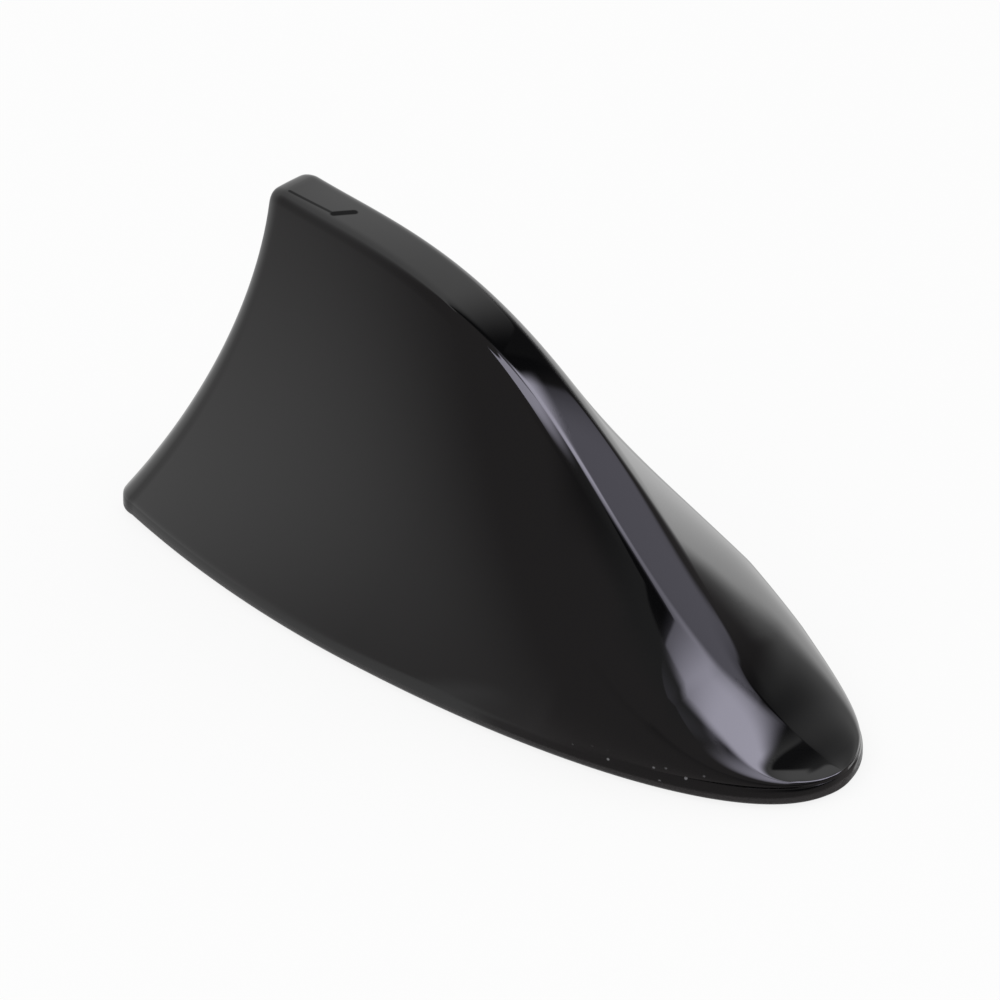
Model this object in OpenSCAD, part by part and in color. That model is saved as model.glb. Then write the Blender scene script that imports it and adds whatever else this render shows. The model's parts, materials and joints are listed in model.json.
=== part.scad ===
// Stick-on shark fin roof aerial. Nose towards +X, underside of the pad at Z = 0.

/* [Fin outside] */
// length of the fin along the roof
fin_l = 155; // [130:1:190]
// height of the ridge above the roof
fin_h = 70.5; // [55:1:80]
// greatest width across the lip
fin_w = 58.3; // [46:0.5:70]
// width at the tail
tail_w = 38.9; // [28:0.5:46]
// distance of the widest place from the tail
widest_at = 67.8; // [55:1:85]
// how far the top of the rear edge stands ahead of the tail
rear_lean = 29.8; // [20:1:38]
// width of the flat strip along the ridge
strip_w = 10.3; // [8:0.1:13]
// height of the vertical lip round the base
lip_h = 3.2; // [2.4:0.1:4.5]
// how far the lip stands out below the nose
lip_step = 1; // [0.2:0.1:1.6]
// rounding of the lip's lower edge
lip_r = 1.2; // [0.4:0.1:1.3]
// rounding of the two upright rear edges
rear_r = 5.0; // [2:0.25:6]
// rounding of the strip's edges at the rear, as the length it takes from each face
rear_crease = 2.2; // [0.8:0.1:2.6]
// the same rounding behind the nose
nose_crease = 1.1; // [0.8:0.1:2]
// height of the crown across the strip
crown = 0.4; // [0:0.1:0.8]

/* [Fin inside] */
// wall of the fin's sides
wall = 2.8; // [2.4:0.1:3.4]
// wall of the skirt round the base plate
skirt = 1.8; // [1.5:0.1:2]
// thickness below the ridge
roof = 2.6; // [2:0.1:3.4]
// solid length behind the nose, above the base plate
nose_solid = 13; // [11:0.5:18]
// length of the nose ahead of the base plate
nose_skirt = 6.5; // [5.5:0.5:8]

/* [Base] */
// foam pad thickness
pad_t = 1; // [0.8:0.1:1.6]
// gap between the skirt and the roof
rim_gap = 0.4; // [0.2:0.1:0.7]
// base plate thickness
plate_t = 2; // [1.8:0.1:2.6]
// gasket thickness
seal_t = 0.6; // [0.4:0.1:1]
// gap round the base plate
plate_gap = 0.15; // [0.1:0.05:0.3]
// height of the plate's locating wall above the plate
spigot_h = 2.6; // [1.8:0.1:3.4]
// thickness of the locating wall
spigot_t = 1.2; // [0.9:0.1:1.6]
// how far the plate's snap bead reaches into the groove of the skirt
snap = 0.25; // [0.15:0.05:0.4]
// height of the snap bead
snap_h = 0.6; // [0.4:0.1:0.8]
// thickness of the plate's ribs
rib_t = 1.4; // [1:0.1:2]
// radial clearance of a screw in its pilot hole
pilot_gap = 0.06; // [0.03:0.01:0.1]

/* [Lead entry] */
// radius of the grommet's bore
lead_r = 1.6; // [1.2:0.05:2.2]
// distance of the lead entry from the tail
lead_at = 25; // [22:0.5:27]
// radius of the plate's hole for the grommet
gland_r = 3.6; // [3:0.1:4.2]
// overhang of the grommet's flanges
gland_lip = 1.3; // [0.8:0.1:1.6]
// thickness of the grommet's flanges
gland_t = 0.7; // [0.5:0.05:0.8]
// height of the grommet's collar
gland_h = 1.8; // [1:0.1:3]

/* [Circuit board] */
// board length
board_l = 74; // [62:1:78]
// board width
board_w = 29; // [26:0.5:32]
// board thickness
board_t = 1.6; // [1:0.1:2]
// distance of the board from the tail
board_at = 35; // [33:0.5:38]
// height of the board's standoffs
standoff_h = 3; // [2.4:0.1:5]
// radius of the board's standoffs
standoff_r = 2.4; // [2:0.1:2.8]
// shank radius of the board screws
board_screw_r = 1; // [0.8:0.05:1.1]
// length of the board screws under the head
board_screw_l = 4; // [3:0.1:4.2]
// shield can length
can_l = 20; // [17:0.5:22]
// shield can width
can_w = 17; // [14:0.5:18]
// shield can height
can_h = 4.5; // [3.5:0.1:6]
// shield can sheet thickness
can_t = 0.3; // [0.2:0.05:0.5]
// amplifier chip size
chip_l = 5; // [3:0.5:6]
// height of the terminal block
term_h = 7; // [5:0.5:9]
// radius of the electrolytic capacitor
elco_r = 2.5; // [2:0.1:2.8]
// height of the electrolytic capacitor
elco_h = 7; // [5:0.5:9]

/* [Antenna element] */
// wire radius of the coil
wire_r = 0.6; // [0.4:0.05:0.8]
// radius of the coil former's post
post_r = 5; // [4:0.1:6]
// gap between the coil and the post
coil_gap = 0.1; // [0.05:0.01:0.2]
// number of turns
turns = 7; // [5:1:8]
// height kept free between the last turn and the top plate
coil_clear = 15; // [13:0.5:18]
// distance of the coil's axis from the tail
coil_at = 58; // [56:0.5:62]
// sheet thickness of the top plate
top_t = 0.5; // [0.3:0.1:0.8]
// width of the top plate
top_w = 7; // [5:0.5:7.5]
// length of the top plate
top_l = 38; // [30:1:44]
// depth of the top plate's turned-down edges
top_edge = 3; // [2:0.5:4]
// distance from the ridge down to the top plate
top_drop = 11; // [10:0.5:15]
// thickness of the moulded head under the top plate
bar_t = 3; // [2:0.5:5]
// width of the damping foam
foam_w = 3; // [2:0.1:3.4]

/* [Hidden] */
$fn = 40;
eps = 0.01;
fit_gap = 0.05;
foot_w = 3;
foot_t = 2;
former_screw_r = 1.2;

tail_x = -fin_l / 2;
nose_x = fin_l / 2;
plate_z = pad_t;
plate_top = plate_z + plate_t;
ledge_z = plate_top + seal_t;
board_z = plate_top + standoff_h;
board_top = board_z + board_t;
lip_z = rim_gap + lip_h;

// The fin's form
function clamp(v, a, b) = max(a, min(b, v));
function ease(u) = let (v = clamp(u, 0, 1)) v * v * (3 - 2 * v);
function bez(p, t) = len(p) == 1 ? p[0]
  : bez([for (i = [0:len(p) - 2]) p[i] * (1 - t) + p[i + 1] * t], t);

// Ridge seen from the side, from the nose to the top of the rear edge:
// shares of the length ahead of the middle, and of the height
RIDGE = [[0.500, 0.057], [0.500, 0.057], [0.302, 0.096], [0.222, 0.364], [0.091, 1.023], [-0.103, 0.942]];
top_x = tail_x + rear_lean;
ridge_pts = concat([for (p = RIDGE) [p[0] * fin_l, p[1] * fin_h]], [[top_x, fin_h]]);
function ridge(t) = bez(ridge_pts, t);
ridge_line = [for (i = [0:60]) ridge(i / 60)];
function ridge_z(x) = lookup(x, ridge_line);

// Half width of the base outline at x, taken in by d at the sides and by nd at the nose
n_front = 2.176;
n_side = 2.311;
n_back = 1.953;
widest_x = tail_x + widest_at;
function half_w(x, d = 0, nd = 0) = x > widest_x
  ? (fin_w / 2 - d) * pow(max(0, 1 - pow(clamp((x - widest_x) / (nose_x - nd - widest_x), 0, 1), n_front)),
      1 / n_side)
  : fin_w / 2 - d - (fin_w - tail_w) / 2 * pow(clamp((widest_x - x) / widest_at, 0, 1), n_back);

// Half width of the ridge strip and the run of its edge rounding, w = 0 at the nose, 1 at the rear
tip_share = 0.933;
tip_full = 0.860;
tip_end = 0.410;
function strip(w) = strip_w / 2 * (tip_share + (1 - tip_share) * ease(w / tip_full)) * ease(w / tip_end);
function rounding(w) = nose_crease + (rear_crease - nose_crease) * ease(w / 0.8);

// How far the flanks swell outwards: nose, middle and rear
SWELL = [-1.785, 0.040, 0.317];
function swell(w) = SWELL[0] * (1 - w) * (1 - w) + 2 * SWELL[1] * w * (1 - w) + SWELL[2] * w * w;
mid_share = 0.45;
// share of the height against share of the forward lean, along a rib of the surface
lean_a = 0.083;
lean_b = 1.735;
function lean(u) = lean_a * u + (1 - lean_a) * (1 - pow(1 - clamp(u, 0, 1), lean_b));

function quad(a, m, b, n) = [for (k = [0:n - 1]) let (u = k / n) a * (1 - u) * (1 - u) + m * 2 * u * (1 - u) + b * u * u];
function cubic(a, m1, m2, b, n) = [for (k = [0:n - 1]) let (u = k / n)
  a * pow(1 - u, 3) + m1 * 3 * u * pow(1 - u, 2) + m2 * 3 * u * u * (1 - u) + b * pow(u, 3)];
function toward(a, b, d) = a + (b - a) * min(d / max(norm(b - a), 1e-6), 0.6);

// The flank's curve from its foot to the strip's edge: fuller and meeting the strip at an angle at the nose
nose_full = 0.213;
edge_drop = 0.150;
function bulge(foot, edge, w) = let (c = swell(w))
  foot + [(edge[0] - foot[0]) * max(mid_share + c * (1 - mid_share), 0),
    (edge[1] - foot[1]) * min(mid_share * (1 - c), 0.95)];
function fullness(w) = 2 / 3 + nose_full * pow(1 - w, 2);
function above_foot(foot, edge, w) = foot + (bulge(foot, edge, w) - foot) * fullness(w);
function below_edge(foot, edge, w) = edge + (bulge(foot, edge, w) - edge) * fullness(w)
  - [0, edge_drop * pow(1 - w, 2) * (edge[1] - foot[1])];

// One half section [y, z] from the rim to the ridge: b half width, h ridge height, t strip half width
function outer_half(b, h, w) = let (
    t = min(max(strip(w), 0.04 * b), 0.9 * b), zl = min(lip_z, rim_gap + 0.75 * (h - rim_gap)),
    li = min(lip_step * ease(1 - w / 0.3), 0.3 * b), f = rounding(w),
    rb = lip_r * min(1, b / 4),
    qc = [b - li, zl], q4 = [t, h], q5 = [0, h + crown * ease(w / 0.3)],
    c1 = above_foot(qc, q4, w), c2 = below_edge(qc, q4, w),
    qd = qc + (c1 - qc) * 0.06, a4 = toward(q4, c2, f), a5 = q4 + (q5 - q4) * min(f / max(t, 1e-6), 0.8))
  concat(quad([b - rb, rim_gap], [b, rim_gap], [b, min(rim_gap + lip_r, zl)], 3),
    quad([b, min(rim_gap + lip_r, zl)], [b, zl], qd, 3), cubic(qd, c1, c2, a4, 10), quad(a4, q4, a5, 4), [a5, q5]);

// One half section of an inner form, d inside the outside
function inner_half(b, h, w, d) = let (
    t = min(max(strip(w) - d * 0.8, 0.6), 0.8 * b), q4 = [t, h], foot = [b, ledge_z],
    c1 = above_foot(foot, q4, w), c2 = below_edge(foot, q4, w),
    a4 = toward(q4, c2, d * 0.8))
  concat(cubic(foot, c1, c2, a4, 8), quad(a4, q4, [0, h + crown / 2], 3), [[0, h + crown / 2]]);

// Sections along the fin, then the rings that round the rear edge, where the rounding's depth
// and length shrink to these shares of rear_r at the top
top_depth = 0.16;
top_length = 0.54;
n_out = 34;
n_round = 3;
round_step = 90 / n_round;
function along(w) = nose_x - w * (fin_l - rear_r);
function place(half, xb, xr, h, t, e, s) = [for (q = half) let (
    u = clamp((q[1] - min(lip_z, h - 0.3)) / max(h - lip_z, 0.3), 0, 1),
    eu = e * (1 - (1 - top_depth) * u), y = q[0] * (1 - min(eu / max(q[0], t, 1e-3), 0.9)))
  [xb + (xr - xb) * lean(u) - s * (1 - (1 - top_length) * u), y, q[1] - eu * u * u * u]];
function both(ring) = concat(ring, [for (i = [len(ring) - 2:-1:0]) [ring[i][0], -ring[i][1], ring[i][2]]]);
function outer_ring(r, e = 0, s = 0) = let (w = (nose_x - r[0]) / (nose_x - top_x), xb = along(w))
  both(place(outer_half(max(half_w(xb), 0), r[1], w), xb, r[0], r[1], strip(w), e, s));
outer_rings = concat([for (i = [0:n_out]) outer_ring(ridge(i / n_out))],
  [for (k = [1:n_round]) outer_ring(ridge(1), rear_r * (1 - cos(k * round_step)), rear_r * sin(k * round_step))]);

// The pocket's square corners keep corner_wall to the rounded rear edges
corner_wall = 1.2;
tail_skirt = max(skirt, rear_r - sqrt(max(0, pow(max(rear_r - corner_wall, 0), 2) - pow(rear_r - skirt, 2))));

// The cavity and the pocket for the base plate share their stations, from the nose to the tail
n_in = 18;
function in_v(i) = pow(i / n_in, 1.5);
function in_x(i, nd, td) = let (a = nose_x - nd) a - in_v(i) * (a - tail_x - td);
// d in from the sides and the tail, nd from the nose, rf down from the ridge
function inner_ring(i, d, nd, rf) = let (
    xb = in_x(i, nd, d + tail_skirt - skirt), xr = in_x(i, nd, rear_lean + d * 1.2), h = ridge_z(xr) - rf)
  [for (q = inner_half(max(half_w(xb, d, nd), 0), h, min((nose_x - xb) / (fin_l - rear_r), 1), d))
    [xb + (xr - xb) * lean((q[1] - ledge_z) / (h - ledge_z)), q[0], q[1]]];
snap_z = plate_z + plate_t / 2;
function pocket_point(i, z, g) = let (x = in_x(i, nose_skirt - g, tail_skirt - g))
  [x, max(half_w(x, skirt - g, nose_skirt - g), 0), z];
function pocket_ring(i) = let (g = snap + plate_gap, z = snap_h / 2 + fit_gap)
  [pocket_point(i, rim_gap, 0), pocket_point(i, snap_z - z, 0), pocket_point(i, snap_z - z, g),
    pocket_point(i, snap_z + z, g), pocket_point(i, snap_z + z, 0), pocket_point(i, ledge_z, 0)];
inner_rings = [for (i = [0:n_in]) both(concat(pocket_ring(i), inner_ring(i, wall, nose_solid, roof)))];

function skin(no, mo, q, flip) = [for (i = [0:no - 2], j = [0:mo - 2])
  let (a = q + i * mo + j, b = a + 1, c = a + mo + 1, d = a + mo) each flip ? [[a, c, b], [a, d, c]] : [[a, b, c], [a, c, d]]];
function ladder(mo, q, flip) = [for (j = [0:(mo - 1) / 2 - 1])
  let (a = q + j, b = a + 1, c = q + mo - 2 - j, d = c + 1, f = b == c ? [a, b, d] : [a, b, c, d]) flip ? [for (k = [len(f) - 1:-1:0]) f[k]] : f];

// Faces that join the outer rim, at offset a in each ring, to the pocket's rim, at offset b
function ahead(x) = len([for (r = inner_rings) if (r[0][0] > x) 1]);
function facing(i) = i == len(outer_rings) - 1 ? n_in : max(ahead(outer_rings[i][0][0]) - 1, 0);
function rim(no, mo, mi, q, a, b) = [for (i = [0:no - 2]) let (j = facing(i), k = facing(i + 1))
  each concat([[i * mo + a, (i + 1) * mo + a, q + k * mi + b]],
    k > j ? [for (n = [j:k - 1]) [i * mo + a, q + (n + 1) * mi + b, q + n * mi + b]] : [])];
function turned(faces) = [for (f = faces) [for (k = [len(f) - 1:-1:0]) f[k]]];

module shell_solid() {
  no = len(outer_rings);
  mo = len(outer_rings[0]);
  ni = len(inner_rings);
  mi = len(inner_rings[0]);
  q = no * mo;
  pts = concat([for (r = outer_rings) each r], [for (r = inner_rings) each r]);
  rim_tail = [(no - 1) * mo, (no - 1) * mo + mo - 1, q + (ni - 1) * mi + mi - 1, q + (ni - 1) * mi];
  polyhedron(pts, concat(skin(no, mo, 0, false), skin(ni, mi, q, true), ladder(mo, (no - 1) * mo, false),
    ladder(mi, q + (ni - 1) * mi, true), rim(no, mo, mi, q, 0, 0),
    turned(rim(no, mo, mi, q, mo - 1, mi - 1)), [rim_tail]));
}

module fin_cover() {
  color([0.07, 0.07, 0.08]) shell_solid();
}

// Outline of a flat piece: taken in by d at the sides, nd at the nose and td at the tail
function outline(d, nd, td) = let (l = [for (i = [0:n_in]) let (x = in_x(i, nd, td)) [x, max(half_w(x, d, nd), 0)]])
  concat(l, [for (i = [n_in:-1:1]) [l[i][0], -l[i][1]]]);
module ring(d, nd, td, t) {
  difference() {
    polygon(outline(d, nd, td));
    polygon(outline(d + t, nd + t * 1.5, td + t));
  }
}

lead_x = tail_x + lead_at;
board_x = tail_x + board_at;
spigot_gap = 1;
board_inset = 4;
board_corners = [for (x = [board_inset, board_l - board_inset], s = [-1, 1]) [board_x + x, s * (board_w / 2 - board_inset)]];
module at_corners() { for (c = board_corners) translate([c[0], c[1], 0]) children(); }
coil_x = tail_x + coil_at;

module base_plate() {
  color([0.16, 0.16, 0.17]) difference() {
    union() {
      translate([0, 0, plate_z]) linear_extrude(plate_t)
        polygon(outline(skirt + plate_gap, nose_skirt + plate_gap, tail_skirt + plate_gap));
      translate([0, 0, snap_z - snap_h / 2]) linear_extrude(snap_h)
        polygon(outline(skirt - snap, nose_skirt - snap, tail_skirt - snap));
      translate([0, 0, plate_top - eps]) linear_extrude(spigot_h + eps)
        ring(wall + spigot_gap, nose_solid + spigot_gap * 2, tail_skirt + spigot_gap, spigot_t);
      translate([0, 0, plate_top - eps]) at_corners() cylinder(r = standoff_r, h = standoff_h + eps);
      translate([board_x, -rib_t / 2, plate_top - eps]) cube([coil_x - 6 - board_x, rib_t, spigot_h + eps]);
      translate([coil_x + 6, -rib_t / 2, plate_top - eps])
        cube([board_x + board_l - coil_x - 6, rib_t, spigot_h + eps]);
      for (x = [board_x + 12, coil_x + 8, board_x + board_l - 12])
        translate([x, -board_w / 2, plate_top - eps]) cube([rib_t, board_w, spigot_h * 0.8 + eps]);
    }
    translate([0, 0, plate_top]) at_corners() cylinder(r = board_screw_r + pilot_gap, h = standoff_h + 1);
    translate([lead_x, 0, plate_z - 1]) cylinder(r = gland_r, h = plate_t + 2);
  }
}

module cover_seal() {
  color([0.1, 0.1, 0.1]) translate([0, 0, plate_top]) linear_extrude(seal_t)
    ring(skirt + plate_gap * 2, nose_skirt + plate_gap * 2, tail_skirt + plate_gap * 2, wall - skirt - plate_gap * 2);
}

pad_in = 0.8;
module adhesive_pad() {
  color([0.24, 0.24, 0.25]) difference() {
    linear_extrude(pad_t)
      polygon(outline(skirt + plate_gap + pad_in, nose_skirt + plate_gap + pad_in, tail_skirt + plate_gap + pad_in));
    translate([lead_x, 0, -1]) cylinder(r = gland_r + gland_lip + 0.6, h = pad_t + 2);
  }
}

module lead_grommet() {
  color([0.08, 0.08, 0.08]) translate([lead_x, 0, 0]) difference() {
    union() {
      translate([0, 0, plate_z - gland_t]) cylinder(r = gland_r + gland_lip, h = gland_t);
      translate([0, 0, plate_z - eps]) cylinder(r = gland_r - fit_gap, h = plate_t + 2 * eps);
      translate([0, 0, plate_top]) cylinder(r = gland_r + gland_lip, h = gland_t);
      translate([0, 0, plate_top + gland_t - eps]) cylinder(r1 = gland_r, r2 = lead_r + 0.8, h = gland_h);
    }
    translate([0, 0, -1]) cylinder(r = lead_r, h = plate_top + gland_t + gland_h + 2);
  }
}

module circuit_board() {
  color([0.05, 0.32, 0.16]) translate([0, 0, board_z]) difference() {
    translate([board_x, 0, 0]) linear_extrude(board_t) polygon([[0, -board_w / 2], [board_l - 4, -board_w / 2],
      [board_l, 4 - board_w / 2], [board_l, board_w / 2 - 4], [board_l - 4, board_w / 2], [0, board_w / 2],
      [0, 3], [1.6, 3], [1.6, -3], [0, -3]]);
    translate([0, 0, -1]) at_corners() cylinder(r = board_screw_r + 0.15, h = board_t + 2);
    translate([coil_x, 0, -1]) cylinder(r = former_screw_r + 0.15, h = board_t + 2);
  }
}

board_head_t = 1.1;
module small_screw(r, l) {
  difference() {
    cylinder(r = r * 1.85, h = board_head_t);
    translate([0, 0, board_head_t / 2]) cylinder(r = r * 0.8, h = board_head_t, $fn = 6);
  }
  translate([0, 0, -l]) cylinder(r = r, h = l + eps);
}
module board_screws() {
  color([0.75, 0.75, 0.77]) at_corners() translate([0, 0, board_top]) small_screw(board_screw_r, board_screw_l);
}

can_gap = 3;
can_x = coil_x + post_r + foot_w + 9 + can_gap;
module shield_can() {
  color([0.78, 0.79, 0.8]) translate([can_x, 0, board_top]) difference() {
    translate([0, -can_w / 2, 0]) cube([can_l, can_w, can_h]);
    translate([can_t, can_t - can_w / 2, -1]) cube([can_l - 2 * can_t, can_w - 2 * can_t, can_h + 1 - can_t]);
    for (i = [1:4], j = [-1:1]) translate([i * can_l / 5, j * can_w / 4, can_h - 1]) cylinder(r = 0.9, h = 2, $fn = 24);
  }
}
module amplifier_chip() {
  color([0.12, 0.12, 0.13]) translate([can_x + can_l / 2 - chip_l / 2, -chip_l / 2, board_top]) {
    translate([0, 0, 0.1]) cube([chip_l, chip_l, 0.9]);
    for (s = [0, 1], i = [0:3]) translate([(i + 0.5) * chip_l / 4 - 0.2, s == 0 ? -0.9 : chip_l - eps, 0])
      cube([0.4, 0.9 + eps, 0.4]);
  }
}
coil_s = 4;
module inductors() {
  color([0.2, 0.2, 0.22]) for (j = [-1:1])
    translate([can_x - can_gap - coil_s, j * (coil_s + 2.5) - coil_s / 2, board_top]) difference() {
      cube([coil_s, coil_s, 3]);
      translate([coil_s / 2, coil_s / 2, 2]) difference() {
        cylinder(r = 1.6, h = 2);
        translate([0, 0, -1]) cylinder(r = 0.7, h = 4);
      }
    }
}
module chip_capacitors() {
  color([0.72, 0.58, 0.42]) for (i = [0:4], s = [-1, 1])
    translate([can_x + 2 + i * (can_l - 6) / 4, s * (can_w / 2 + 2) - 0.6, board_top]) cube([2, 1.2, 0.8]);
}
module electrolytic_capacitor() {
  color([0.2, 0.22, 0.4]) translate([can_x + can_l + elco_r + 1.2, 0, board_top]) rotate_extrude()
    polygon([[0, 0], [elco_r, 0], [elco_r, 1], [elco_r - 0.25, 1.3], [elco_r, 1.6], [elco_r, elco_h - 0.3],
      [elco_r - 0.3, elco_h], [0, elco_h]]);
}
term_l = 6.5;
term_w = 9;
module terminal_block() {
  color([0.1, 0.3, 0.6]) translate([board_x + 2.2, -term_w / 2, board_top]) difference() {
    cube([term_l, term_w, term_h]);
    translate([-1, -1, term_h]) rotate([0, 30, 0]) translate([-4, 0, 0]) cube([6, term_w + 2, 4]);
    for (s = [1, 3]) {
      translate([-1, s * term_w / 4, 1.9]) rotate([0, 90, 0]) cylinder(r = 1.1, h = 5.2);
      translate([term_l - 2.4, s * term_w / 4, 3.4]) cylinder(r = 1.2 + fit_gap, h = term_h);
    }
  }
}
module terminal_screws() {
  color([0.7, 0.7, 0.72]) for (s = [1, 3])
    translate([board_x + 2.2 + term_l - 2.4, s * term_w / 4 - term_w / 2, board_top + 3.4]) difference() {
      cylinder(r = 1.2, h = term_h - 4.2);
      translate([-0.25, -2, term_h - 4.9]) cube([0.5, 4, 2]);
    }
}

// Antenna element: a helix on a moulded post, and a bent sheet below the ridge as its top load
wind_r = post_r + coil_gap + wire_r;
wind_z = board_top + foot_t + wire_r + 1.5;
top_back = 7;
top_x0 = top_x + top_back;
screw_grip = 6;
foam_end = 8;
hole_in = 5;
hole_r = 1.2;
n_top = 12;
function top_z(x) = ridge_z(x) - top_drop;
pitch = (top_z(coil_x) - coil_clear - wind_z) / turns;
function band(x0, x1, up, down) = let (l = [for (i = [0:n_top]) x0 + (x1 - x0) * i / n_top])
  concat([for (x = l) [x, top_z(x) + up]], [for (i = [n_top:-1:0]) [l[i], top_z(l[i]) + down]]);
module slab(w) { translate([0, w / 2, 0]) rotate([90, 0, 0]) linear_extrude(w) children(); }

module coil_former() {
  color([0.85, 0.84, 0.8]) difference() {
    union() {
      translate([coil_x, 0, board_top]) cylinder(r = post_r + foot_w, h = foot_t);
      translate([coil_x, 0, board_top]) cylinder(r = post_r, h = wind_z + turns * pitch + 3 - board_top);
      translate([coil_x - post_r * 0.9, 0, 0]) slab(top_w - 2 * top_t - 0.3)
        polygon([[0, wind_z + turns * pitch], [post_r * 1.8, wind_z + turns * pitch],
          [post_r * 1.8, top_z(coil_x + post_r * 0.9) - top_t - 1], [0, top_z(coil_x - post_r * 0.9) - top_t - 1]]);
      slab(top_w - 2 * top_t - 0.3) polygon(band(top_x0 + 1, top_x0 + top_l - 1, -top_t, -top_t - bar_t));
    }
    translate([coil_x, 0, board_top - 1]) cylinder(r = former_screw_r + pilot_gap, h = 9);
    translate([coil_x, wind_r, board_top - 1]) cylinder(r = wire_r + 0.25, h = foot_t + 2);
  }
}
module former_screw() {
  color([0.75, 0.75, 0.77]) translate([coil_x, 0, board_z]) mirror([0, 0, 1]) small_screw(former_screw_r, board_t + screw_grip);
}
module top_plate() {
  color([0.8, 0.8, 0.78]) difference() {
    union() {
      slab(top_w) polygon(band(top_x0, top_x0 + top_l, 0, -top_t));
      for (s = [-1, 1]) translate([0, s * (top_w - top_t) / 2, 0]) slab(top_t)
        polygon(band(top_x0 + 3, top_x0 + top_l - 3, -top_t / 2, -top_edge));
    }
    for (x = [top_x0 + hole_in, top_x0 + top_l - hole_in]) translate([x, 0, top_z(x) - 2]) cylinder(r = hole_r, h = 4);
  }
}
module damping_foam() {
  x0 = top_x0 + 2;
  x1 = top_x0 + top_l - foam_end;
  color([0.3, 0.3, 0.31]) slab(foam_w) polygon(band(x0, x1, top_drop - roof - 0.35, 0.05));
}

// A round wire swept along points of one upright helix and its straight ends
n_turn = 14;
wire_sides = 8;
wire_path = let (top = top_z(coil_x) - 1, y1 = top_w / 2 + wire_r + fit_gap, z1 = wind_z + turns * pitch)
  concat([[0, wind_r, board_top + 0.05], [0, wind_r, wind_z - 0.8]],
    [for (i = [0:turns * n_turn]) let (a = 90 + i * 360 / n_turn) [wind_r * cos(a), wind_r * sin(a), wind_z + i * pitch / n_turn]],
    [[0, wind_r, z1 + 0.9], [0, y1, min(z1 + 4.5, top - top_edge - 1)], [0, y1, top]]);
function unit(v) = v / norm(v);
function wire_ring(p, i) = let (n = len(p), t = unit(p[min(i + 1, n - 1)] - p[max(i - 1, 0)]),
    e = unit([p[i][0], p[i][1], 0]), u = unit(e - t * (e * t)), v = cross(t, u))
  [for (k = [0:wire_sides - 1]) p[i] + wire_r * (u * cos(k * 360 / wire_sides) + v * sin(k * 360 / wire_sides))];
module antenna_coil() {
  n = len(wire_path);
  m = wire_sides;
  color([0.8, 0.45, 0.2]) translate([coil_x, 0, 0]) polyhedron([for (i = [0:n - 1]) each wire_ring(wire_path, i)],
    concat([[for (k = [0:m - 1]) k]], [[for (k = [m - 1:-1:0]) (n - 1) * m + k]],
      [for (i = [0:n - 2], k = [0:m - 1]) let (a = i * m + k, b = i * m + (k + 1) % m) each [[a, a + m, b], [b, a + m, b + m]]]));
}

fin_cover();
base_plate();
cover_seal();
adhesive_pad();
lead_grommet();
circuit_board();
board_screws();
shield_can();
amplifier_chip();
inductors();
chip_capacitors();
electrolytic_capacitor();
terminal_block();
terminal_screws();
coil_former();
former_screw();
antenna_coil();
top_plate();
damping_foam();
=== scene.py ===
import json
import math

import bmesh
import bpy
from mathutils import Matrix, Vector


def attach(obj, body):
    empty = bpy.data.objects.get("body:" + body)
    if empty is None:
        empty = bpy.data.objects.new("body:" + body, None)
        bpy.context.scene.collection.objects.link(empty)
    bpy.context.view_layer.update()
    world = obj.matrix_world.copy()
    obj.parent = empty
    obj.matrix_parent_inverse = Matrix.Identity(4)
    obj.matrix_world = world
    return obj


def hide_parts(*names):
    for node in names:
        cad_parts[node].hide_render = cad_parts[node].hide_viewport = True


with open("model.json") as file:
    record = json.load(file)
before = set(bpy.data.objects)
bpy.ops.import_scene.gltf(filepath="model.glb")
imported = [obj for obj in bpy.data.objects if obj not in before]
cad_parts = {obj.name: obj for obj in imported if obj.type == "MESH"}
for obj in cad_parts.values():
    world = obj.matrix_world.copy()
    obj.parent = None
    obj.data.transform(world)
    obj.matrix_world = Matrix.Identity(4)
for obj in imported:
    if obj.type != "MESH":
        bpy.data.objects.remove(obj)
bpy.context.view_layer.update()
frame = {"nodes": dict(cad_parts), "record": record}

MM = 0.001
nodes = frame["nodes"]


def linear(hex_colour):
    """sRGB hex to the linear colour that a socket takes."""
    channels = [int(hex_colour[i:i + 2], 16) / 255 for i in (1, 3, 5)]
    return [c / 12.92 if c <= 0.04045 else ((c + 0.055) / 1.055) ** 2.4 for c in channels] + [1.0]


def add(tree, kind, feeds=None, **settings):
    """One node with its settings. feeds gives its sockets a value, or a link from another node."""
    node = tree.nodes.new(kind)
    for name, value in settings.items():
        setattr(node, name, value)
    for socket, value in (feeds or {}).items():
        if isinstance(value, bpy.types.NodeSocket):
            tree.links.new(value, node.inputs[socket])
        else:
            node.inputs[socket].default_value = value
    return node


def new_tree(name):
    """A new material and its empty node tree."""
    material = bpy.data.materials.new(name)
    material.use_nodes = True
    material.node_tree.nodes.clear()
    return material, material.node_tree


def clamp(value, least=0.0, most=1.0):
    return min(max(value, least), most)


# Form of the fin, in millimetres: the same curves as the moulded cover's solid.
# w is the share of the way from the nose to the top of the ridge, and u runs from 0 to 1 along a curve.

LENGTH, HEIGHT = 155.0, 70.5
NOSE, TAIL = LENGTH / 2, -LENGTH / 2
# plan outline: widths at the widest place and the tail, and the powers ahead of, across and behind the widest place
WIDTH, TAIL_WIDTH, WIDEST_AT = 58.3, 38.9, 67.8
WIDTH_FRONT, WIDTH_SIDE, WIDTH_BACK = 2.176, 2.311, 1.953
# rear edge: how far it leans forwards, its rounding, and the shares of that rounding's depth and length at the top
REAR_LEAN, REAR_ROUND, TOP_DEPTH, TOP_LENGTH = 29.8, 5.0, 0.16, 0.54
PINCH_MOST, PINCH_WIDTH, SIDE_LEAST = 0.9, 1e-3, 0.3
LEAN_A, LEAN_B = 0.083, 1.735
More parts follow.
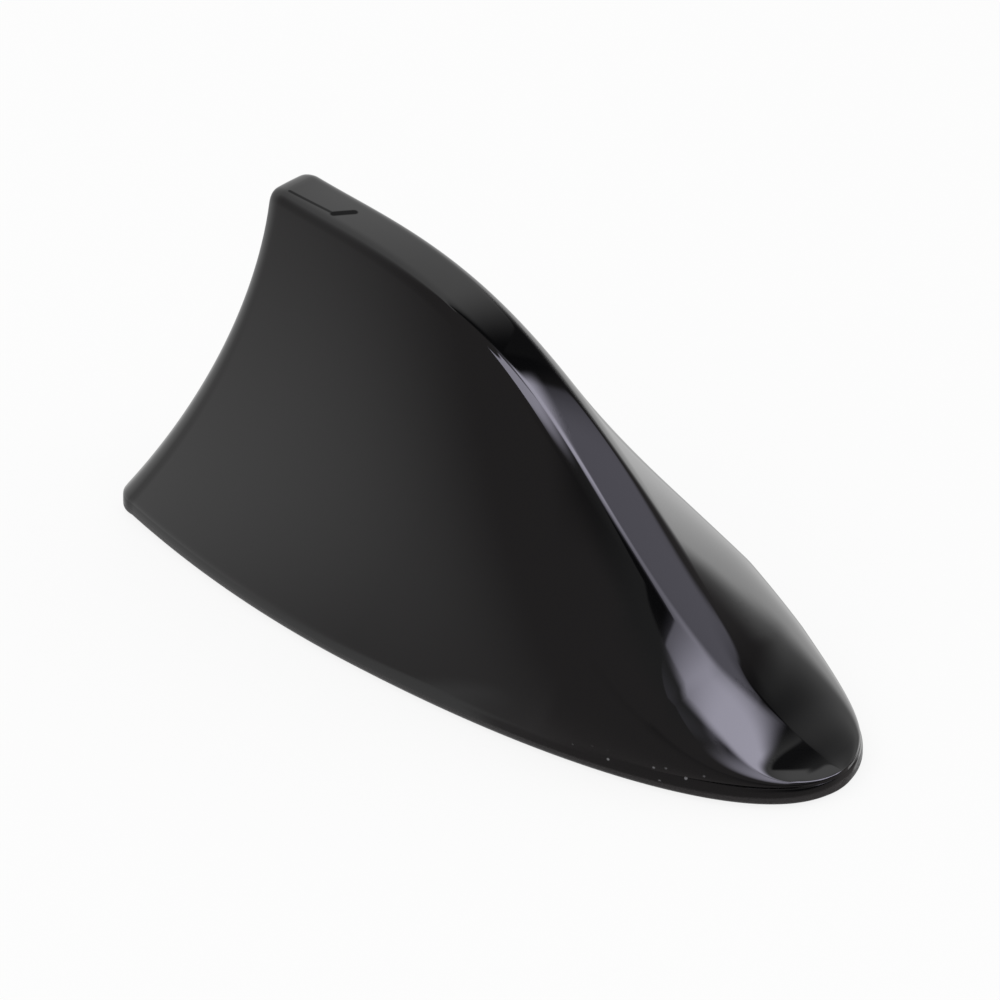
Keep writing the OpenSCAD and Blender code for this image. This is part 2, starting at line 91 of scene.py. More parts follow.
# side line of the ridge: control points as shares of the length and the height
RIDGE_TOP_X = TAIL + REAR_LEAN
RIDGE = [(0.500, 0.057), (0.500, 0.057), (0.302, 0.096), (0.222, 0.364), (0.091, 1.023), (-0.103, 0.942)]
RIDGE_POINTS = [Vector((x * LENGTH, z * HEIGHT)) for x, z in RIDGE] + [Vector((RIDGE_TOP_X, HEIGHT))]
RIDGE_STEPS = 240
# strip along the ridge: its width and the share of it at the nose, where it is full, where its point ends, its crown
STRIP_WIDTH, STRIP_SHARE, STRIP_FULL, STRIP_END, CROWN = 10.3, 0.933, 0.860, 0.410, 0.15
STRIP_LEAST, STRIP_MOST = 0.04, 0.9
# lip round the lower edge, which gets lower and loses its step towards the nose
LIP_HEIGHT, LIP_STEP, LIP_ROUND, RIM_GAP = 3.2, 1.0, 1.2, 0.4
LIP_Z = RIM_GAP + LIP_HEIGHT
LIP_MOST, STEP_MOST, STEP_END, ROUND_FULL = 0.75, 0.3, 0.3, 4
# flank between the lip and the strip: how far it bulges, and how full it is and how its upper end drops at the nose
SWELL = (-1.785, 0.040, 0.317)
MID_SHARE, MID_TOP = 0.45, 0.95
NOSE_FULL, EDGE_DROP = 0.213, 0.150
FLANK_START, TOWARD_MOST = 0.06, 0.6
# rounding of the crease beside the strip, at the nose and at the rear, and where it has grown to the rear's
NOSE_EDGE, REAR_EDGE, EDGE_GROWN, BESIDE_MOST = 1.1, 2.2, 0.8, 0.8
# hollow: walls, solid nose, pocket for the base plate with its ledge and snap groove
WALL, SKIRT, ROOF, NOSE_SOLID, NOSE_SKIRT, CORNER_WALL = 2.8, 1.8, 2.6, 13.0, 6.5, 1.2
REAR_WALL, EDGE_WALL = WALL * 1.2, WALL * 0.8
INNER_LEAST, INNER_MOST = 0.6, 0.8
LEDGE_Z, SNAP_Z, SNAP_DEPTH, SNAP_HALF = 3.6, 2.0, 0.4, 0.35
# steps of the mesh
RIM_STEPS, LIP_STEPS, FLANK_STEPS, EDGE_STEPS, STRIP_STEPS = 6, 8, 40, 12, 8
INNER_FLANK_STEPS, INNER_ROOF_STEPS = 12, 4
OUTER_RINGS, CORNER_RINGS, INNER_RINGS = 150, 10, 30
EVEN_SHARE, INNER_POWER = 0.65, 1.5
SMALLEST, MERGE, CREASE_ANGLE = 1e-6, 1e-6, 38


def ease(u):
    u = clamp(u)
    return u * u * (3 - 2 * u)


def ridge(t):
    """Point (x, z) of the ridge's Bezier line, from the nose at 0 to the top at 1."""
    points = RIDGE_POINTS
    while len(points) > 1:
        points = [a.lerp(b, t) for a, b in zip(points, points[1:])]
    return points[0]


RIDGE_LINE = [ridge(i / RIDGE_STEPS) for i in range(RIDGE_STEPS + 1)]


def ridge_height(x):
    for a, b in zip(RIDGE_LINE, RIDGE_LINE[1:]):
        if b.x <= x <= a.x and a.x > b.x:
            return b.y + (a.y - b.y) * (x - b.x) / (a.x - b.x)
    return RIDGE_LINE[0].y if x > RIDGE_LINE[0].x else HEIGHT


def half_width(x, inset=0.0, nose_inset=0.0):
    """Half the plan outline's width at x, drawn in by inset and, at the nose, by nose_inset."""
    widest = TAIL + WIDEST_AT
    if x > widest:
        front = min((x - widest) / (NOSE - nose_inset - widest), 1.0)
        return (WIDTH / 2 - inset) * (1 - front ** WIDTH_FRONT) ** (1 / WIDTH_SIDE)
    back = (widest - x) / WIDEST_AT
    return WIDTH / 2 - inset - (WIDTH - TAIL_WIDTH) / 2 * max(back, 0.0) ** WIDTH_BACK


def strip_half(w):
    return STRIP_WIDTH / 2 * (STRIP_SHARE + (1 - STRIP_SHARE) * ease(w / STRIP_FULL)) * ease(w / STRIP_END)


def edge_round(w):
    return NOSE_EDGE + (REAR_EDGE - NOSE_EDGE) * ease(w / EDGE_GROWN)


def swell(w):
    return SWELL[0] * (1 - w) ** 2 + 2 * SWELL[1] * w * (1 - w) + SWELL[2] * w * w


def lean(u):
    """Share of the rear edge's lean that is reached at the share u of the height."""
    u = clamp(u)
    return LEAN_A * u + (1 - LEAN_A) * (1 - (1 - u) ** LEAN_B)


def toward(a, b, distance):
    return a + (b - a) * min(distance / max((b - a).length, SMALLEST), TOWARD_MOST)


def bow(a, middle, b, steps):
    """Curve from a to b that is drawn towards middle, without its last point."""
    return [a * (1 - u) ** 2 + middle * (2 * u * (1 - u)) + b * u ** 2 for u in (k / steps for k in range(steps))]


def flank(foot, edge, w, steps, edge_run):
    """Where the side's curve starts, where the crease's rounding starts, and a function that draws the curve."""
    c, fullness = swell(w), 2 / 3 + NOSE_FULL * (1 - w) ** 2
    bulge = foot + Vector(((edge.x - foot.x) * max(MID_SHARE + c * (1 - MID_SHARE), 0.0),
                           (edge.y - foot.y) * min(MID_SHARE * (1 - c), MID_TOP)))
    low = foot.lerp(bulge, fullness)
    high = edge.lerp(bulge, fullness) - Vector((0.0, EDGE_DROP * (1 - w) ** 2 * (edge.y - foot.y)))
    start, below = foot.lerp(low, FLANK_START), toward(edge, high, edge_run)
    return start, below, lambda first: [
        first * (1 - u) ** 3 + low * (3 * u * (1 - u) ** 2) + high * (3 * u * u * (1 - u)) + below * u ** 3
        for u in (k / steps for k in range(steps))]


def outer_half(b, h, w):
    """Half section (y, z) from the rim over the lip and the flank to the middle of the strip."""
    t = clamp(strip_half(w), STRIP_LEAST * b, STRIP_MOST * b)
    lip_top = min(LIP_Z, RIM_GAP + LIP_MOST * (h - RIM_GAP))
    step = min(LIP_STEP * ease(1 - w / STEP_END), STEP_MOST * b)
    rim = LIP_ROUND * min(1.0, b / ROUND_FULL)
    foot, edge = Vector((b - step, lip_top)), Vector((t, h))
    top = Vector((0.0, h + CROWN * ease(w / STEP_END)))
    start, below, side = flank(foot, edge, w, FLANK_STEPS, edge_round(w))
    beside = edge.lerp(top, min(edge_round(w) / max(t, SMALLEST), BESIDE_MOST))
    turn = Vector((b, min(RIM_GAP + LIP_ROUND, lip_top)))
    slope = (top.y - edge.y) / max(t, SMALLEST)
    strip = [Vector((beside.x * (1 - u), beside.y + slope * beside.x / 2 * (1 - (1 - u) ** 2)))
             for u in (k / STRIP_STEPS for k in range(STRIP_STEPS + 1))]
    return (bow(Vector((b - rim, RIM_GAP)), Vector((b, RIM_GAP)), turn, RIM_STEPS)
            + bow(turn, Vector((b, lip_top)), start, LIP_STEPS) + side(start)
            + bow(below, edge, beside, EDGE_STEPS) + strip)


def both_sides(half):
    return half + [(x, -y, z) for x, y, z in reversed(half[:-1])]


def outer_ring(point, pinch=0.0, back=0.0):
    """One ring of the outside below a point of the ridge. pinch and back draw it in for the rear rounding."""
    w = (NOSE - point.x) / (NOSE - RIDGE_TOP_X)
    base_x, h = NOSE - w * (LENGTH - REAR_ROUND), point.y
    t = strip_half(w)
    ring = []
    for q in outer_half(max(half_width(base_x), 0.0), h, w):
        u = clamp((q.y - min(LIP_Z, h - SIDE_LEAST)) / max(h - LIP_Z, SIDE_LEAST))
        depth = pinch * (1 - (1 - TOP_DEPTH) * u)
        ring.append((base_x + (point.x - base_x) * lean(u) - back * (1 - (1 - TOP_LENGTH) * u),
                     q.x * (1 - min(depth / max(q.x, t, PINCH_WIDTH), PINCH_MOST)), q.y - depth * u ** 3))
    return both_sides(ring)


def station_x(i, nose_inset, tail_inset):
    front = NOSE - nose_inset
    return front - (i / INNER_RINGS) ** INNER_POWER * (front - TAIL - tail_inset)


def inner_ring(i, tail_skirt):
    """One ring of the hollow: the pocket that grips the base plate, then the cavity's flank and roof."""
    ring = []
    for z, grip in ((RIM_GAP, 0.0), (SNAP_Z - SNAP_HALF, 0.0), (SNAP_Z - SNAP_HALF, SNAP_DEPTH),
                    (SNAP_Z + SNAP_HALF, SNAP_DEPTH), (SNAP_Z + SNAP_HALF, 0.0), (LEDGE_Z, 0.0)):
        x = station_x(i, NOSE_SKIRT - grip, tail_skirt - grip)
        ring.append((x, max(half_width(x, SKIRT - grip, NOSE_SKIRT - grip), 0.0), z))
    base_x = station_x(i, NOSE_SOLID, WALL + tail_skirt - SKIRT)
    ridge_x = station_x(i, NOSE_SOLID, REAR_LEAN + REAR_WALL)
    h, w = ridge_height(ridge_x) - ROOF, min((NOSE - base_x) / (LENGTH - REAR_ROUND), 1.0)
    b = max(half_width(base_x, WALL, NOSE_SOLID), 0.0)
    t = clamp(strip_half(w) - EDGE_WALL, INNER_LEAST, INNER_MOST * b)
    foot, edge, top = Vector((b, LEDGE_Z)), Vector((t, h)), Vector((0.0, h + CROWN / 2))
    below, side = flank(foot, edge, w, INNER_FLANK_STEPS, EDGE_WALL)[1:]
    for q in side(foot) + bow(below, edge, top, INNER_ROOF_STEPS) + [top]:
        ring.append((base_x + (ridge_x - base_x) * lean((q.y - LEDGE_Z) / (h - LEDGE_Z)), q.x, q.y))
    return both_sides(ring)


def close_skin(work, skin):
    """Faces between the rings of one skin, and over its last ring."""
    for near, far in zip(skin, skin[1:]):
        for j in range(len(near) - 1):
            work.faces.new((near[j], near[j + 1], far[j + 1], far[j]))
    last = skin[-1]
    for j in range(len(last) // 2):
        corners = [last[j], last[j + 1], last[-2 - j], last[-1 - j]]
        work.faces.new(corners if corners[1] != corners[2] else corners[:2] + corners[3:])


def join_rims(work, rim, edge):
    """Faces of the rim's underside, between one side of the outside's rings and that of the hollow's."""
    j = 0
    for a, b in zip(rim, rim[1:]):
        facing = len(edge) - 1 if b is rim[-1] else max(sum(v.co.x > b.co.x for v in edge) - 1, 0)
        work.faces.new((a, b, edge[facing]))
        for k in range(j, facing):
            work.faces.new((a, edge[k + 1], edge[k]))
        j = facing


def moulded_cover():
    """The whole moulding as one closed skin: outside, pocket, cavity and the rim between them."""
    shares = [i / OUTER_RINGS for i in range(OUTER_RINGS + 1)]
    outer = [outer_ring(ridge(ease(u) * (1 - EVEN_SHARE) + u * EVEN_SHARE)) for u in shares]
    outer += [outer_ring(ridge(1.0), REAR_ROUND * (1 - math.cos(a)), REAR_ROUND * math.sin(a))
              for a in (math.pi / 2 * k / CORNER_RINGS for k in range(1, CORNER_RINGS + 1))]
    tail_skirt = max(SKIRT, REAR_ROUND - math.sqrt((REAR_ROUND - CORNER_WALL) ** 2 - (REAR_ROUND - SKIRT) ** 2))
    inner = [inner_ring(i, tail_skirt) for i in range(INNER_RINGS + 1)]
    work = bmesh.new()
    rows = [[work.verts.new(Vector(p) * MM) for p in ring] for ring in outer + inner]
    outer, inner = rows[:len(outer)], rows[len(outer):]
    for skin in (outer, inner):
        close_skin(work, skin)
    for side in (0, -1):
        join_rims(work, [ring[side] for ring in outer], [ring[side] for ring in inner])
    work.faces.new([outer[-1][0], outer[-1][-1], inner[-1][-1], inner[-1][0]])
    bmesh.ops.remove_doubles(work, verts=work.verts, dist=MERGE)
    bmesh.ops.dissolve_degenerate(work, edges=work.edges, dist=MERGE)
    bmesh.ops.recalc_face_normals(work, faces=work.faces)
    mesh = bpy.data.meshes.new("moulded_cover")
    work.to_mesh(mesh)
    work.free()
    mesh.shade_smooth()
    mesh.set_sharp_from_angle(angle=math.radians(CREASE_ANGLE))
    cover = bpy.data.objects.new("moulded_cover", mesh)
    bpy.context.scene.collection.objects.link(cover)
    return cover


# Finishes

def distance_to_line(tree, place, start, end):
    """Distance from the surface to the line between two points (x, y) in millimetres, seen from above."""
    a, b = Vector((*start, 0.0)) * MM, Vector((*end, 0.0)) * MM
    flat = add(tree, "ShaderNodeVectorMath", {0: place, 1: (1.0, 1.0, 0.0)}, operation="MULTIPLY").outputs[0]
    offset = add(tree, "ShaderNodeVectorMath", {0: flat, 1: a}, operation="SUBTRACT").outputs[0]
    along = add(tree, "ShaderNodeVectorMath", {0: offset, 1: (b - a) / (b - a).length_squared},
                operation="DOT_PRODUCT").outputs["Value"]
    share = add(tree, "ShaderNodeClamp", {"Value": along}).outputs[0]
    nearest = add(tree, "ShaderNodeVectorMath", {0: b - a, "Scale": share}, operation="SCALE").outputs[0]
    return add(tree, "ShaderNodeVectorMath", {0: offset, 1: nearest}, operation="DISTANCE").outputs["Value"]


def where(tree, *ranges):
    """A mask that rises smoothly from 0 to 1 while each value goes from its start to its end. Each range gives the
    value, its start and its end."""
    mask = None
    for value, start, end in ranges:
        rise = add(tree, "ShaderNodeMapRange", {"Value": value, "From Min": start, "From Max": end},
                   interpolation_type="SMOOTHSTEP").outputs["Result"]
        mask = rise if mask is None else add(tree, "ShaderNodeMath", {0: mask, 1: rise},
                                             operation="MULTIPLY").outputs[0]
    return mask


# marks on the cover, as points (x, y) seen from above: the scuff's line and the dash at its end, and the nicks' line
SCUFF = [(-47.1, -3.0), (-37.0, -2.4), (-35.0, 0.6)]
SCUFF_LINE, SCUFF_DASH, SCUFF_FADE, SCUFF_HEIGHT = (0.45, 0.18), (0.9, 0.5), 0.85, (66, 67)
NICKED_EDGE = [(36.0, -26.0), (61.0, -18.5)]
NICK_CELL, NICK_SIZE, NICK_CHOICE = 1.6, (0.24, 0.12), (0.34, 0.42)
NICK_BAND, NICK_LOW, NICK_HIGH = (2.6, 1.6), (2.2, 2.6), (6, 4)
# heights between which the lower edge's band fades: a duller finish whose grey is a painted reflection of the white
# floor
DULL_REFLECTION_BAND = (2.3, 1.7)
# sizes of the polish's haze, the dull band's grain and the skin's ripple
HAZE, GRAIN, RIPPLE = 9, 0.35, 6


def piano_black_moulded_abs():
    """High-gloss ABS: a deep black that takes its greys from what it mirrors, with a faint moulded ripple.
    The lower edge is a duller band that the polished mould doesn't reach, and its greyer colour there is a painted
    reflection of the white floor.
    Low on the right side lie a few light nicks, and the ridge has a small dark scuff near its rear end."""
    material, tree = new_tree("piano_black_moulded_abs")
    place = add(tree, "ShaderNodeTexCoord").outputs["Object"]
    height = add(tree, "ShaderNodeSeparateXYZ", {0: place}).outputs["Z"]

    def within(value, limits):
        return value, limits[0] * MM, limits[1] * MM

    # mask of the lower edge's band, which carries its higher roughness and its painted floor reflection
    dull_reflection_band = where(tree, within(height, DULL_REFLECTION_BAND))
    haze = add(tree, "ShaderNodeTexNoise", {"Vector": place, "Scale": 1 / (HAZE * MM),
                                            "Detail": 4.0}).outputs["Fac"]
    grain = add(tree, "ShaderNodeTexNoise", {"Vector": place, "Scale": 1 / (GRAIN * MM),
                                             "Detail": 2.0}).outputs["Fac"]
    gloss = add(tree, "ShaderNodeMapRange", {"Value": haze, "To Min": 0.02, "To Max": 0.04}).outputs["Result"]
    dull = add(tree, "ShaderNodeMapRange", {"Value": grain, "To Min": 0.28, "To Max": 0.5}).outputs["Result"]
    rough = add(tree, "ShaderNodeMix", {"Factor": dull_reflection_band, 2: gloss, 3: dull}).outputs[0]
    # grey of the lower band, in patches of the grain: a painted reflection of the white floor
    painted_floor_reflection = add(tree, "ShaderNodeMix", {"Factor": grain, 6: linear("#1b1a1b"), 7: linear("#3a3839")},
                      data_type="RGBA").outputs[2]
    colour = add(tree, "ShaderNodeMix", {"Factor": dull_reflection_band, 6: linear("#0b0b0c"), 7: painted_floor_reflection},
                 data_type="RGBA").outputs[2]
    dash = where(tree, within(distance_to_line(tree, place, *SCUFF[1:]), SCUFF_DASH))
    line = where(tree, within(distance_to_line(tree, place, *SCUFF[:2]), SCUFF_LINE))
    line = add(tree, "ShaderNodeMath", {0: line, 1: SCUFF_FADE}, operation="MULTIPLY").outputs[0]
    mark = add(tree, "ShaderNodeMath", {0: line, 1: dash}, operation="MAXIMUM").outputs[0]
    scuff = add(tree, "ShaderNodeMath", {0: mark, 1: where(tree, within(height, SCUFF_HEIGHT))},
                operation="MULTIPLY").outputs[0]
    cells = add(tree, "ShaderNodeTexVoronoi", {"Vector": place, "Scale": 1 / (NICK_CELL * MM)})
    chosen = add(tree, "ShaderNodeSeparateColor", {0: cells.outputs["Color"]}).outputs[0]
    nicks = where(tree, (cells.outputs["Distance"], *NICK_SIZE), (chosen, *NICK_CHOICE), within(height, NICK_LOW),
                  within(height, NICK_HIGH), within(distance_to_line(tree, place, *NICKED_EDGE), NICK_BAND))
    colour = add(tree, "ShaderNodeMix", {"Factor": nicks, 6: colour, 7: linear("#77777a")},
                 data_type="RGBA").outputs[2]
    rough = add(tree, "ShaderNodeMix", {"Factor": nicks, 2: rough, 3: 0.5}).outputs[0]
    mirror = add(tree, "ShaderNodeMapRange", {"Value": scuff, "To Min": 0.5, "To Max": 0.04}).outputs["Result"]
    ripple = add(tree, "ShaderNodeTexNoise", {"Vector": place, "Scale": 1 / (RIPPLE * MM), "Detail": 1.0})
    wave = add(tree, "ShaderNodeBump", {"Strength": 0.05, "Distance": 0.02 * MM,
                                        "Height": ripple.outputs["Fac"]}).outputs["Normal"]
    skin = add(tree, "ShaderNodeBump", {"Strength": dull_reflection_band, "Distance": 0.02 * MM, "Height": grain,
                                        "Normal": wave}).outputs["Normal"]
    shader = add(tree, "ShaderNodeBsdfPrincipled", {"Base Color": colour, "Roughness": rough, "Normal": skin,
                                                    "Specular IOR Level": mirror, "IOR": 1.52})
    add(tree, "ShaderNodeOutputMaterial", {"Surface": shader.outputs[0]})
    return material


# slot: name, darker and lighter tone, metallic, least and most roughness, grain in mm, stretch, bump in mm
FINISHES = {
    # spark-eroded mould face: an even, dry black with no mirror in it
    "matte_black_abs": ("spark_eroded_abs", "#1a1a1b", "#262627", 0.0, 0.45, 0.6, 0.3, (1, 1, 1), 0.02),
    # moulded EPDM: a soft black that catches dust
    "black_rubber": ("moulded_epdm_rubber", "#151515", "#222221", 0.0, 0.6, 0.8, 0.5, (1, 1, 1), 0.02),
    # closed-cell acrylic foam: dark grey with fine pores on its cut edge
    "grey_foam": ("closed_cell_foam", "#2b2b2d", "#414144", 0.0, 0.8, 0.95, 0.4, (1, 1, 1), 0.08),
    # zinc-plated steel: bright with a bluish cast and a slight bloom
    "zinc_steel": ("zinc_plated_steel", "#a9adb3", "#c6c9cc", 1.0, 0.25, 0.42, 0.8, (1, 1, 1), 0.004),
    # tinned sheet: rolled one way, so its lines run along the sheet
    "tinned_sheet": ("rolled_tinned_steel", "#b4b4b0", "#cbcbc7", 1.0, 0.22, 0.4, 0.3, (0.08, 1, 1), 0.003),
    # solder mask over glass cloth: green with the weave just showing through
    "green_board": ("solder_mask_board", "#0f3d22", "#175231", 0.0, 0.25, 0.38, 0.6, (1, 1, 4), 0.01),
    # enamelled copper: warm, glossy, with darker patches in the lacquer
    "copper_wire": ("enamelled_copper", "#9c4a25", "#c0693a", 1.0, 0.18, 0.3, 1.5, (1, 1, 1), 0.002),
    # natural polyamide: milky ivory
    "natural_plastic": ("natural_polyamide", "#c9c4b2", "#d8d4c5", 0.0, 0.4, 0.55, 1.2, (1, 1, 1), 0.01),
    # dyed polyamide of the terminal
    "blue_plastic": ("blue_polyamide", "#16356f", "#1d4285", 0.0, 0.35, 0.5, 0.8, (1, 1, 1), 0.01),
    # filled epoxy of a chip package: charcoal and finely pitted
    "chip_epoxy": ("filled_epoxy", "#1c1c1e", "#29292b", 0.0, 0.5, 0.65, 0.15, (1, 1, 1), 0.01),
    # fired ceramic of the chip capacitors: tan
    "chip_ceramic": ("fired_ceramic", "#8c6c48", "#a28259", 0.0, 0.4, 0.55, 0.3, (1, 1, 1), 0.005),
    # shrunk sleeve of the round capacitor: navy, smooth
    "capacitor_sleeve": ("shrunk_pvc_sleeve", "#181f3d", "#202a4e", 0.0, 0.22, 0.32, 2.0, (1, 1, 1), 0.005),
}
# size of the patches between the darker and the lighter tone
PATCH = 6


def small_finish(name, dark, light, metallic, rough_least, rough_most, grain_mm, stretch, bump_mm):
    """The finish of a small piece: two tones in patches, and a grain in its roughness and its skin."""
    material, tree = new_tree(name)
    place = add(tree, "ShaderNodeTexCoord").outputs["Object"]
    drawn = add(tree, "ShaderNodeMapping", {"Vector": place, "Scale": stretch}).outputs["Vector"]
    grain = add(tree, "ShaderNodeTexNoise", {"Vector": drawn, "Scale": 1 / (grain_mm * MM),
                                             "Detail": 4.0}).outputs["Fac"]
    patch = add(tree, "ShaderNodeTexNoise", {"Vector": place, "Scale": 1 / (PATCH * MM),
                                             "Detail": 3.0}).outputs["Fac"]
    colour = add(tree, "ShaderNodeMix", {"Factor": patch, 6: linear(dark), 7: linear(light)},
                 data_type="RGBA").outputs[2]
    rough = add(tree, "ShaderNodeMapRange", {"Value": grain, "To Min": rough_least,
                                             "To Max": rough_most}).outputs["Result"]
    bump = add(tree, "ShaderNodeBump", {"Strength": 0.6, "Distance": bump_mm * MM,
                                        "Height": grain}).outputs["Normal"]
    shader = add(tree, "ShaderNodeBsdfPrincipled", {"Base Color": colour, "Roughness": rough, "Normal": bump,
                                                    "Metallic": metallic})
    add(tree, "ShaderNodeOutputMaterial", {"Surface": shader.outputs[0]})
    return material


gloss_abs = piano_black_moulded_abs()
finishes = {slot: small_finish(*values) for slot, values in FINISHES.items()}
finishes["gloss_black_abs"] = gloss_abs
for subpart in frame["record"]["subparts"]:
    for slot in nodes[subpart["node"]].material_slots:
        slot.material = finishes[subpart["material_slot"]]

cover = moulded_cover()
cover.data.materials.append(gloss_abs)
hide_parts("fin_cover")
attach(cover, "root")


# Studio

WHITE = (1.0, 1.0, 1.0, 1.0)
SEEN_WHITE = 1.0
ROOM_LEVEL = 0.75
# share of the floor's own white that is kept over its shadow, its half side in metres and how far it lies below
FLOOR_KEEP, FLOOR_HALF, FLOOR_DROP = 0.86, 4, 0.0002


def seen_directly(tree):
    """1 for rays from the camera and for mirrored or refracted ones, which see the white background."""
    path = add(tree, "ShaderNodeLightPath").outputs
    first = add(tree, "ShaderNodeMath", {0: path["Is Camera Ray"], 1: path["Is Glossy Ray"]}, operation="MAXIMUM")
    return add(tree, "ShaderNodeMath", {0: first.outputs[0], 1: path["Is Transmission Ray"]},
               operation="MAXIMUM").outputs[0]


world = bpy.data.worlds.new("white_studio")
bpy.context.scene.world = world
world.use_nodes = True
room = world.node_tree
room.nodes.clear()
level = add(room, "ShaderNodeMapRange", {"Value": seen_directly(room), "To Min": ROOM_LEVEL, "To Max": SEEN_WHITE})
sky = add(room, "ShaderNodeBackground", {"Color": WHITE, "Strength": level.outputs["Result"]})
add(room, "ShaderNodeOutputWorld", {"Surface": sky.outputs[0]})

floor_mesh = bpy.data.meshes.new("studio_floor")
corners = [(x * FLOOR_HALF, y * FLOOR_HALF, -FLOOR_DROP) for x, y in ((-1, -1), (1, -1), (1, 1), (-1, 1))]
floor_mesh.from_pydata(corners, [], [(0, 1, 2, 3)])
floor = bpy.data.objects.new("studio_floor", floor_mesh)
bpy.context.scene.collection.objects.link(floor)
paper, tree = new_tree("white_paper_sweep")
kept = add(tree, "ShaderNodeMath", {0: seen_directly(tree), 1: FLOOR_KEEP}, operation="MULTIPLY").outputs[0]
lit = add(tree, "ShaderNodeBsdfDiffuse", {"Color": linear("#f6f6f6")}).outputs[0]
glow = add(tree, "ShaderNodeEmission", {"Color": WHITE, "Strength": 1.0}).outputs[0]
mixed = add(tree, "ShaderNodeMixShader", {0: kept, 1: lit, 2: glow}).outputs[0]
add(tree, "ShaderNodeOutputMaterial", {"Surface": mixed})
floor_mesh.materials.append(paper)
floor.visible_glossy = False


def toward_place(longitude, latitude, distance):
    a, b = math.radians(longitude), math.radians(latitude)
    return Vector((math.cos(b) * math.cos(a), math.cos(b) * math.sin(a), math.sin(b))) * distance


NEUTRAL, WARM, COOL = WHITE, (1.06, 0.98, 0.98, 1.0), (0.96, 0.93, 1.12, 1.0)
CARD_COLUMNS, CARD_ROWS = 24, 16


def studio_card(name, centre, span, tilt, level, tint, soft, distance):
    """A curved card or softbox that only mirrors in the gloss. soft is the share of each side that fades."""
    turn = Matrix.Rotation(math.radians(tilt), 2)
    points = []
    for j in range(CARD_ROWS + 1):
        for i in range(CARD_COLUMNS + 1):
            offset = turn @ Vector(((i / CARD_COLUMNS - 0.5) * span[0], (j / CARD_ROWS - 0.5) * span[1]))
            points.append(toward_place(centre[0] + offset.x, centre[1] + offset.y, distance))
    mesh = bpy.data.meshes.new(name)
    width = CARD_COLUMNS + 1
    mesh.from_pydata(points, [], [(j * width + i, j * width + i + 1, (j + 1) * width + i + 1, (j + 1) * width + i)
                                  for j in range(CARD_ROWS) for i in range(CARD_COLUMNS)])
    layer = mesh.uv_layers.new(name="UVMap")
    for loop in mesh.loops:
        row, column = divmod(loop.vertex_index, width)
        layer.data[loop.index].uv = (column / CARD_COLUMNS, row / CARD_ROWS)
    material, tree = new_tree(name)
    uv = add(tree, "ShaderNodeSeparateXYZ", {0: add(tree, "ShaderNodeUVMap").outputs[0]})
    left, right, lower, upper = soft
    mask = where(tree, (uv.outputs["X"], 0.0, left), (uv.outputs["X"], 1.0, 1.0 - right),
                 (uv.outputs["Y"], 0.0, lower), (uv.outputs["Y"], 1.0, 1.0 - upper))
    clear = add(tree, "ShaderNodeBsdfTransparent").outputs[0]
    card = add(tree, "ShaderNodeEmission", {"Color": tint, "Strength": level}).outputs[0]
    blend = add(tree, "ShaderNodeMixShader", {0: mask, 1: clear, 2: card}).outputs[0]
    add(tree, "ShaderNodeOutputMaterial", {"Surface": blend})
    mesh.materials.append(material)
    board = bpy.data.objects.new(name, mesh)
    bpy.context.scene.collection.objects.link(board)
    board.visible_camera = board.visible_diffuse = board.visible_shadow = board.visible_transmission = False


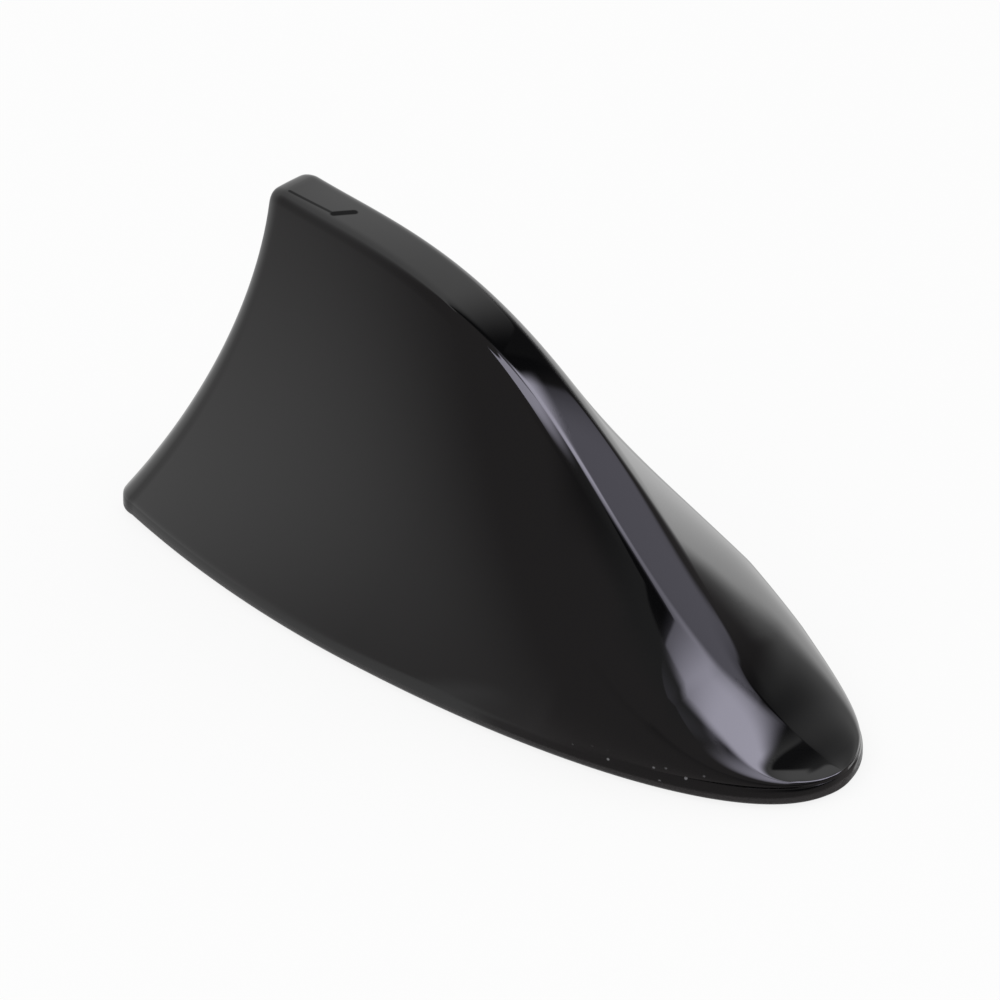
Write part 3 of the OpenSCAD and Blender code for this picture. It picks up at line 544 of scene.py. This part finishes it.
# name, longitude and latitude of the middle, width and height and tilt in degrees, level, tint,
# soft share at the left, right, lower and upper side, distance in metres
CARDS = [
    ("grey_wall", (-45.4, 1.4), (240.0, 172.0), 0.0, 0.25, WARM, (0.250, 0.032, 0.005, 0.005), 2.4),
    ("dark_wall", (-17.9, 22.3), (107.5, 67.6), 0.0, 0.002, NEUTRAL, (0.558, 0.037, 0.444, 0.152), 2.3),
    ("bright_wall", (47.1, 47.2), (33.1, 40.5), 0.0, 1.46, COOL, (0.042, 0.060, 0.163, 0.311), 2.2),
    ("far_dark", (77.9, 56.7), (48.4, 62.7), 0.0, 0.0, NEUTRAL, (0.291, 0.601, 0.353, 0.019), 2.0),
    ("far_bright", (98.2, -0.2), (54.8, 65.5), 0.0, 3.1, NEUTRAL, (0.139, 0.912, 0.458, 0.218), 1.9),
    ("far_floor", (160.4, -33.5), (165.1, 35.2), 0.0, 0.638, NEUTRAL, (0.005, 0.030, 0.327, 0.205), 1.8),
    ("overhead_grey", (3.8, 52.2), (69.4, 20.9), 16.4, 0.213, NEUTRAL, (0.141, 0.101, 0.048, 0.960), 0.315),
    ("black_flag", (87.4, 42.9), (45.3, 17.1), -20.1, 0.033, NEUTRAL, (0.053, 0.863, 0.741, 0.047), 0.3),
    ("softbox", (41.1, 50.9), (44.7, 13.7), 25.0, 6.46, COOL, (0.436, 0.132, 0.285, 0.314), 0.249),
    ("slim_softbox", (5.9, 65.5), (70.0, 23.1), -3.7, 4.9, COOL, (0.011, 0.011, 0.498, 0.052), 0.18),
]
for card in CARDS:
    studio_card(*card)


def softbox_lamp(name, longitude, latitude, distance, size, energy):
    """A lamp that lights the dull surfaces and isn't mirrored, since the cards are what the gloss mirrors."""
    lamp = bpy.data.lights.new(name, "AREA")
    lamp.shape, lamp.size, lamp.energy = "SQUARE", size, energy
    holder = bpy.data.objects.new(name, lamp)
    holder.location = toward_place(longitude, latitude, distance)
    holder.rotation_euler = holder.location.to_track_quat("Z", "Y").to_euler()
    bpy.context.scene.collection.objects.link(holder)
    holder.visible_glossy = False


# name, longitude and latitude in degrees, distance and side in metres, watts
softbox_lamp("overhead_softbox", -120, 62, 1.3, 1.0, 3.2)
softbox_lamp("side_softbox", 30, 40, 1.3, 0.9, 1.2)

# the photo's view: angles in degrees, distance and aim in metres, lens and sensor in millimetres
AZIMUTH, ELEVATION, DISTANCE = math.radians(42.099), math.radians(32.336), 0.86982
AIM_HEIGHT, AIM_RIGHT, AIM_UP = 0.030, -0.000160, -0.004188
LENS, SENSOR, CLIP_START = 179.56, 36.0, 0.05
back = Vector((math.sin(AZIMUTH) * math.cos(ELEVATION), -math.cos(AZIMUTH) * math.cos(ELEVATION),
               math.sin(ELEVATION)))
right = Vector((math.cos(AZIMUTH), math.sin(AZIMUTH), 0.0))
up = back.cross(right)
aim = Vector((0.0, 0.0, AIM_HEIGHT)) + right * AIM_RIGHT + up * AIM_UP
lens = bpy.data.cameras.new("catalogue_view")
lens.sensor_width = lens.sensor_height = SENSOR
lens.lens = LENS
lens.clip_start = CLIP_START
view = bpy.data.objects.new("catalogue_view", lens)
view.matrix_world = Matrix.Translation(aim + back * DISTANCE) @ Matrix((right, up, back)).transposed().to_4x4()
bpy.context.scene.collection.objects.link(view)
bpy.context.scene.camera = view
bpy.context.scene.view_settings.view_transform = "Standard"
